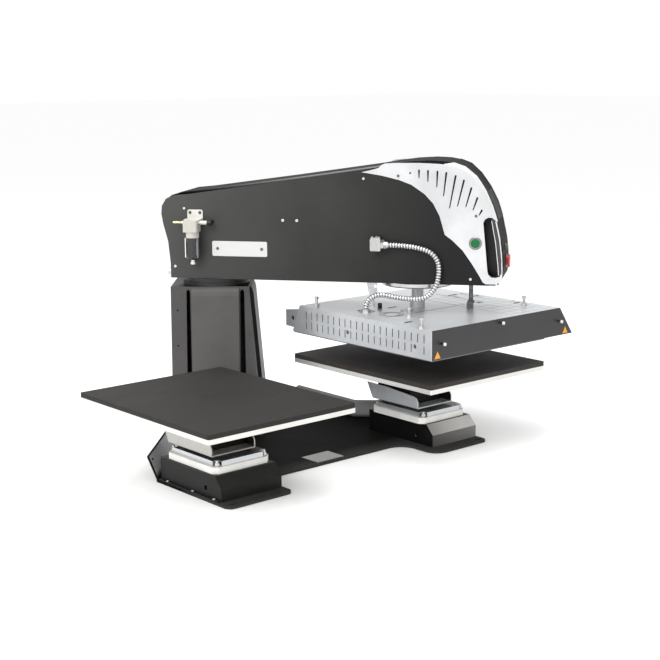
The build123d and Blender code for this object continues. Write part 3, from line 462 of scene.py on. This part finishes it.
arm_panel_look = arm_panel_paint()
SPECIAL = {
    "base_plate": floor_plate_paint(),
    # the data plate is grey all over, with no text
    "rating_plate": metal("data_plate_print", (0.40, 0.40, 0.39), 0.45, (6, 1, 1), scale=160.0,
                          metallic=0.1, dark=0.45, stain=0.8),
    # a darker copy of the black paint: painted shade
    "pedestal_left": powder_coat("pedestal_left_paint", shade(BLACK, 0.8), 0.45, gloss=0.2),
    "pedestal_right": right_pedestal_paint(),
    "adjuster_trays": tray_steel(),
    # one galvanised steel, darker and warmer on the left as painted shade, paler on the right as painted
    # light
    "platen_channel_left": channel_steel("left", -STATION.x, (0.50, 0.49, 0.455)),
    "platen_channel_right": channel_steel("right", STATION.x, (0.70, 0.73, 0.76)),
    "platen_risers": powder_coat("riser_paint", (0.008, 0.008, 0.008), 0.5, gloss=0.1),
    "silicone_pad_right": silicone("silicone_pad_lit", (0.030, 0.0265, 0.0245)),
    "column_shell": column_paint(),
    "column_braces": brace_paint(),
    "arm_side_panel_left": arm_panel_look,
    "arm_side_panel_right": arm_panel_look,
    "arm_top_cover": top_cover_paint(),
    "arm_panel_bolts": panel_bolt_steel(),
    "arm_nameplate": nameplate_face(),
    "control_panel": display_face(),
    "air_filter_bracket": bracket_paint(),
    "air_fittings": fitting_finish(),
    # threaded rod
    "guide_strut_front": metal("threaded_rod", (0.22, 0.22, 0.225), 0.3, (0.02, 0.02, 1), scale=420.0,
                               depth=0.0006, dark=0.25),
    "head_carrier": metal("ear_steel", (0.55, 0.56, 0.57), 0.4, (1, 1, 20), metallic=0.4, dark=0.8),
    "standoff_screws": standoff_steel(),
}

for row in frame["record"]["subparts"]:
    node = nodes[row["node"]]
    node.data.materials.clear()
    node.data.materials.append(SPECIAL.get(row["node"], LOOKS[row["material_slot"]]).mat)


# ---------------------------------------------------------------------------
# mesh helpers
# ---------------------------------------------------------------------------
def piece(name, verts, faces, body, slot, look=None, smooth=True):
    """A mesh object riding on a body, finished as a material slot."""
    mesh = bpy.data.meshes.new(name)
    mesh.from_pydata([tuple(v) for v in verts], [], faces)
    mesh.validate()
    mesh.polygons.foreach_set("use_smooth", [smooth] * len(mesh.polygons))
    obj = bpy.data.objects.new(name, mesh)
    bpy.context.scene.collection.objects.link(obj)
    obj.data.materials.append((look or LOOKS[slot]).mat)
    if body:
        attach(obj, body)
    return obj


def tube_mesh(points, radii, sides):
    """A closed tube round a path, with a radius at each point."""
    verts, faces = [], []
    last = None
    for i, point in enumerate(points):
        before = points[max(i - 1, 0)]
        after = points[min(i + 1, len(points) - 1)]
        ahead = (after - before).normalized()
        if last is None:
            out = ahead.cross(UP if abs(ahead.z) < 0.9 else RIGHT).normalized()
        else:
            out = (last - ahead * last.dot(ahead)).normalized()
        last = out
        side = ahead.cross(out)
        for k in range(sides):
            angle = 2 * math.pi * k / sides
            verts.append(point + (out * math.cos(angle) + side * math.sin(angle)) * radii[i])
    for i in range(len(points) - 1):
        here, beyond = i * sides, (i + 1) * sides
        for k in range(sides):
            j = (k + 1) % sides
            faces.append((here + k, here + j, beyond + j, beyond + k))
    end = (len(points) - 1) * sides
    faces.append(tuple(range(sides - 1, -1, -1)))
    faces.append(tuple(range(end, end + sides)))
    return verts, faces


def block(place, low_corner, high_corner):
    """A block between two corners; place turns its own coordinates into a point."""
    xs, ys, zs = zip(low_corner, high_corner)
    verts = [place(x, y, z) for x in xs for y in ys for z in zs]
    faces = [(0, 1, 3, 2), (4, 6, 7, 5), (0, 4, 5, 1), (2, 3, 7, 6), (0, 2, 6, 4), (1, 5, 7, 3)]
    return verts, faces


# ---------------------------------------------------------------------------
# conduit: one smooth line from the arm's elbow to the head's gland
# ---------------------------------------------------------------------------
HOSE_Y = -0.095              # the conduit's plane, across the arm
HOSE_R = 0.007
HOSE_SIDES = 24
HOSE_STEP = 0.00115          # from one ring of vertices to the next
RIB = [HOSE_R - drop for drop in (0.0002, 0, 0.0002, 0.0015, 0.0017, 0.0015)]     # one rib's rings
# the groove rings also take a darker finish: painted shade in the grooves
RIB_GROOVE = (2, 3, 4)       # the rings that lie in the dark groove
ROUTE = [(0.466, 0.504), (0.532, 0.504), (0.592, 0.480), (0.592, 0.412), (0.562, 0.372), (0.500, 0.372),
         (0.440, 0.384), (0.412, 0.362), (0.412, 0.345)]


def hose_line(step):
    """Evenly spaced points of the spline whose control points are the route."""
    curve = bpy.data.curves.new("conduit_route", "CURVE")
    curve.dimensions = "3D"
    spline = curve.splines.new("NURBS")
    spline.points.add(len(ROUTE) - 1)
    for point, (u, z) in zip(spline.points, ROUTE):
        point.co = (*arm_point(u, HOSE_Y, z), 1.0)
    spline.order_u = 3
    spline.use_endpoint_u = True
    spline.resolution_u = 64
    holder = bpy.data.objects.new("conduit_route", curve)
    mesh = bpy.data.meshes.new_from_object(holder)
    fine = [v.co.copy() for v in mesh.vertices]
    bpy.data.objects.remove(holder)
    bpy.data.curves.remove(curve)
    bpy.data.meshes.remove(mesh)
    even = [fine[0]]
    walked = 0.0
    for here, there in zip(fine, fine[1:]):
        length = (there - here).length
        while walked + length >= step:
            here = here + (there - here) * ((step - walked) / length)
            length = (there - here).length
            walked = 0.0
            even.append(here)
        walked += length
    if (even[-1] - fine[-1]).length > step / 4:
        even.append(fine[-1])
    return even


def hose_piece(name, line, first, last):
    """A stretch of ribbed conduit along the line."""
    part = line[first:last + 1]
    radii = [RIB[i % len(RIB)] for i in range(first, last + 1)]
    verts, faces = tube_mesh(part, radii, HOSE_SIDES)
    obj = piece(name, verts, faces, None, "conduit_metal", smooth=False)
    # faces in a groove get the darker groove finish: painted shade
    obj.data.materials.append(GROOVE.mat)
    for face in obj.data.polygons:
        ring = min(face.vertices) // HOSE_SIDES + first
        in_groove = ring % len(RIB) in RIB_GROOVE and len(face.vertices) == 4
        face.material_index = 1 if in_groove else 0
    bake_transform(obj)
    return obj


conduit = hose_line(HOSE_STEP)
middle = len(conduit) * 55 // 100
upper = hose_piece("conduit_upper", conduit, 0, middle)
hose_piece("conduit_lower", conduit, middle, len(conduit) - 1)
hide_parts("flexible_conduit")

# ---------------------------------------------------------------------------
# head details
# ---------------------------------------------------------------------------
MARK_BASE = HEAD_TOP + 0.00002       # flat marks on the top sheet start just above it
MARK_TOP = HEAD_TOP + 0.00025


def head_at(x, y, z):
    """A point on the head, given about its centre."""
    return HEAD + Vector((x, y, z))


def head_blocks(name, corners, slot, look):
    """Blocks on the head as one piece, each given by two corners about the head's centre."""
    verts, faces = [], []
    for low_corner, high_corner in corners:
        block_verts, block_faces = block(head_at, low_corner, high_corner)
        faces += [tuple(i + len(verts) for i in face) for face in block_faces]
        verts += block_verts
    return piece(name, verts, faces, "head", slot, look, False)


def top_marks(name, outlines, look, top=MARK_TOP):
    """Flat marks on the top sheet, each from (x, y) to (x, y) about the head's centre."""
    corners = [((x0, y0, MARK_BASE), (x1, y1, top)) for x0, y0, x1, y1 in outlines]
    return head_blocks(name, corners, "head_silver", look)


def warning_triangle(name, x, z, size):
    """Plain amber triangle on the head's front, from the middle of its lower edge."""
    flat = [(x - size / 2, z), (x + size / 2, z), (x, z + size * 0.86)]
    back, face = HEAD_FRONT - 0.0001, HEAD_FRONT - 0.0005
    verts = [head_at(px, y, pz) for y in (back, face) for px, pz in flat]
    faces = [(0, 1, 2), (3, 5, 4), (0, 3, 4, 1), (1, 4, 5, 2), (2, 5, 3, 0)]
    return piece(name, verts, faces, "head", "head_dark", AMBER, False)


def top_ring(name, x, y, radius, width=0.0022, count=40):
    """A pressed ring on the top sheet, drawn in painted shade."""
    verts, faces = [], []
    top = MARK_TOP + 0.0005
    inner = radius - width
    for k in range(count):
        angle = 2 * math.pi * k / count
        for r, z in ((radius, MARK_BASE), (radius, top), (inner, top), (inner, MARK_BASE)):
            verts.append(head_at(x + r * math.cos(angle), y + r * math.sin(angle), z))
    for k in range(count):
        a, b = 4 * k, 4 * ((k + 1) % count)
        faces += [(a + i, b + i, b + (i + 1) % 4, a + (i + 1) % 4) for i in range(4)]
    return piece(name, verts, faces, "head", "head_silver", EMBOSS)


warning_triangle("warning_triangle_left", -0.183, 0.269, 0.020)
warning_triangle("warning_triangle_right", 0.272, 0.269, 0.020)

# seams of the top sheet, then its stamped grid and its slots, drawn as flat marks of painted shade
top_marks("top_seams", ((0.171, -0.050, 0.1724, 0.105), (-0.079, -0.0557, 0.172, -0.0543),
                        (-0.160, -0.0557, -0.095, -0.0545), (0.088, -0.055, 0.0892, 0.150)), SEAM)
GRID_PITCH = 0.032
GRID_LINE = 0.0009
grid_x = [0.088 + GRID_PITCH * k for k in range(6)]
grid_y = [-0.232 + GRID_PITCH * k for k in range(10)]
top_marks("top_emboss_lines", [(x, -0.240, x + GRID_LINE, 0.062) for x in grid_x]
          + [(0.092, y, 0.252, y + GRID_LINE) for y in grid_y], EMBOSS, MARK_TOP - 0.0001)
# each slot as x and y of its centre, its length along X and its width along Y
SLOTS = ((-0.160, -0.133, 0.022, 0.008), (0.163, -0.062, 0.018, 0.006), (0.229, -0.129, 0.024, 0.006),
         (0.195, 0.066, 0.032, 0.006), (0.228, 0.014, 0.024, 0.005), (-0.136, 0.062, 0.018, 0.008),
         (-0.052, 0.038, 0.028, 0.006))
top_marks("top_openings", [(x - wide / 2, y - deep / 2, x + wide / 2, y + deep / 2)
                           for x, y, wide, deep in SLOTS], SHADOW, MARK_TOP + 0.0001)

# pressed rings as x and y of the centre, and the radius
RINGS = ((-0.120, -0.033, 0.030), (-0.120, -0.033, 0.021), (-0.060, -0.022, 0.015),
         (-0.138, 0.040, 0.020))
for number, (x, y, radius) in enumerate(RINGS, 1):
    top_ring(f"top_pressed_ring_{number}", x, y, radius)

KNOB_R = 0.0055
KNOB_HEIGHT = 0.012
knob_foot = head_at(-0.080, 0.053, HEAD_TOP + 0.0001)
knob_line = [knob_foot + UP * (KNOB_HEIGHT * part) for part in (0, 0.5, 1)]
knob_verts, knob_faces = tube_mesh(knob_line, [KNOB_R] * len(knob_line), 24)
piece("top_knob", knob_verts, knob_faces, "head", "black_plastic")

# painted shadow: a dark block behind the rear ear's hole
ear_hole = ((-0.1859, 0.259, 0.289), (-0.1852, 0.273, 0.303))
head_blocks("ear_hole_shadow", [ear_hole], "carrier_steel", SHADOW)

# ---------------------------------------------------------------------------
# arm details
# ---------------------------------------------------------------------------
def ribbon(name, rows, depth, slot):
    """A thin band of painted highlight on the arm through pairs of points; depth is its thickness as a
    vector.
    """
    verts, faces = [], []
    for a, b in rows:
        verts += [a, b, b + depth, a + depth]
    for i in range(len(rows) - 1):
        p, q = 4 * i, 4 * i + 4
        faces += [(p + k, p + (k + 1) % 4, q + (k + 1) % 4, q + k) for k in range(4)]
    end = len(verts)
    faces += [(3, 2, 1, 0), (end - 4, end - 3, end - 2, end - 1)]
    return piece(name, verts, faces, "arm", slot, EDGE_HIGHLIGHT, False)


# The pale nose cover turns in over the black nose sheet; the turned-in band is real, and drawn brighter
# than the cover it carries a painted highlight.  Its fold runs along the side's edge as (along, height);
# its rim lies on the black sheet as (along, height, width of the band there).
FOLD = [(0.600, 0.7002), (0.621, 0.697), (0.640, 0.691), (0.657, 0.6825), (0.673, 0.6705),
        (0.686, 0.656), (0.698, 0.638), (0.710, 0.616), (0.721, 0.590), (0.7295, 0.563)]
RIM = [(0.6005, 0.7006, 0.0002), (0.625, 0.7036, 0.0002), (0.652, 0.6938, 0.005),
       (0.6785, 0.6707, 0.013), (0.6897, 0.6549, 0.012), (0.7010, 0.6379, 0.008),
       (0.7104, 0.6192, 0.004), (0.7194, 0.5999, 0.0002), (0.7254, 0.5822, 0.0002),
       (0.7309, 0.5642, 0.0002)]
FOLD_OUT = 0.0796            # the fold, across the arm from its middle
SHEET_EDGE = 0.0748          # just outside the black sheet's edge
BAND_OUT = 0.0720            # the band's width is measured from here
LIP_LIFT = 0.0008
LIP_DEPTH = Vector((0, 0, -0.0005))

# painted highlights along both sides of the grip rail, as (along, height)
GRIP_EDGES = {"inner": [(0.7165, 0.5660), (0.7268, 0.5120), (0.7334, 0.4550), (0.7350, 0.4340)],
              "outer": [(0.7262, 0.5640), (0.7362, 0.5200), (0.7422, 0.4700), (0.7425, 0.4480)]}
GRIP_OUT = 0.0810
GRIP_EDGE_WIDTH = 0.0014
GRIP_EDGE_DEPTH = 0.0006

for side, sign in (("left", -1), ("right", 1)):
    edge = [arm_point(u, sign * SHEET_EDGE, z + LIP_LIFT) for u, z, _ in RIM]
    fold = [arm_point(u, sign * FOLD_OUT, z) for u, z in FOLD]
    inner = [arm_point(u, sign * (BAND_OUT - wide), z + LIP_LIFT) for u, z, wide in RIM]
    ribbon(f"nose_lip_rise_{side}", list(zip(fold, edge)), LIP_DEPTH, "silver_paint")
    ribbon(f"nose_lip_band_{side}", list(zip(edge, inner)), LIP_DEPTH, "silver_paint")
    for mark, path in GRIP_EDGES.items():
        rows = [(arm_point(u, sign * GRIP_OUT, z), arm_point(u + GRIP_EDGE_WIDTH, sign * GRIP_OUT, z))
                for u, z in path]
        ribbon(f"grip_edge_{mark}_{side}", rows, ACROSS * (-sign * GRIP_EDGE_DEPTH), "bezel_chrome")

# guard strips on the filter bowl, by their extent along and across the arm; the left strip is pale as
# painted light and the right one grey as painted shade
STRIP_LOW, STRIP_HIGH = 0.464, 0.5135
for mark, (u0, u1), (w0, w1), look in (("pale", (-0.0478, -0.0440), (-0.1105, -0.1030), GUARD_PALE),
                                       ("grey", (-0.0170, -0.0120), (-0.1150, -0.1075), GUARD_GREY)):
    strip_verts, strip_faces = block(arm_point, (u0, w0, STRIP_LOW), (u1, w1, STRIP_HIGH))
    piece(f"bowl_guard_strip_{mark}", strip_verts, strip_faces, "arm", "bowl_guard", look, False)

# ---------------------------------------------------------------------------
# floor, light, camera
# ---------------------------------------------------------------------------
FLOOR_HALF = 30.0
FLOOR_Z = -0.0005            # just below the floor plate
floor_mesh = bpy.data.meshes.new("floor")
floor_corners = [(x * FLOOR_HALF, y * FLOOR_HALF, FLOOR_Z)
                 for x, y in ((-1, -1), (1, -1), (1, 1), (-1, 1))]
floor_mesh.from_pydata(floor_corners, [], [(0, 1, 2, 3)])
floor = bpy.data.objects.new("floor", floor_mesh)
bpy.context.scene.collection.objects.link(floor)
floor_look = Look("floor_paper")
cloud = floor_look.noise(3.0)
floor_look.set("Base Color", floor_look.mix(cloud, (0.97, 0.97, 0.97), (0.985, 0.985, 0.985)))
floor_look.set("Roughness", 0.8)
floor.data.materials.append(floor_look.mat)

bpy.context.scene.view_settings.view_transform = "Standard"

world = bpy.data.worlds.new("studio")
bpy.context.scene.world = world
world.use_nodes = True
background = world.node_tree.nodes["Background"]
background.inputs["Color"].default_value = (1.0, 1.0, 1.0, 1)
background.inputs["Strength"].default_value = 1.0


def area_light(name, place, target, size, power):
    """A soft square studio light aimed at a point."""
    data = bpy.data.lights.new(name, "AREA")
    data.size = size
    data.energy = power
    obj = bpy.data.objects.new(name, data)
    bpy.context.scene.collection.objects.link(obj)
    obj.location = place
    obj.rotation_euler = (Vector(target) - Vector(place)).to_track_quat("-Z", "Y").to_euler()
    return obj


area_light("key_left", (-2.6, -1.2, 2.2), (0.1, -0.3, 0.35), 1.6, 55)
area_light("top", (0.2, -0.2, 2.8), (0.1, -0.3, 0.3), 2.2, 45)

# camera: looks slightly down at the press from its left front
CAMERA_PLACE = (-2.0628, -2.8449, 0.9366)
PITCH, YAW, ROLL = math.radians(10.99), math.radians(49.276), math.radians(-0.43)
forward = Vector((math.cos(YAW) * math.cos(PITCH), math.sin(YAW) * math.cos(PITCH), -math.sin(PITCH)))
level = Vector((math.sin(YAW), -math.cos(YAW), 0))
upright = level.cross(forward)
right = level * math.cos(ROLL) + upright * math.sin(ROLL)
up = upright * math.cos(ROLL) - level * math.sin(ROLL)
camera_data = bpy.data.cameras.new("camera")
camera_data.sensor_width = 36.0
camera_data.lens = 74.4
camera_data.clip_end = 100.0
camera = bpy.data.objects.new("camera", camera_data)
bpy.context.scene.collection.objects.link(camera)
turn = Matrix((right, up, -forward)).transposed()
camera.matrix_world = Matrix.Translation(CAMERA_PLACE) @ turn.to_4x4()
bpy.context.scene.camera = camera
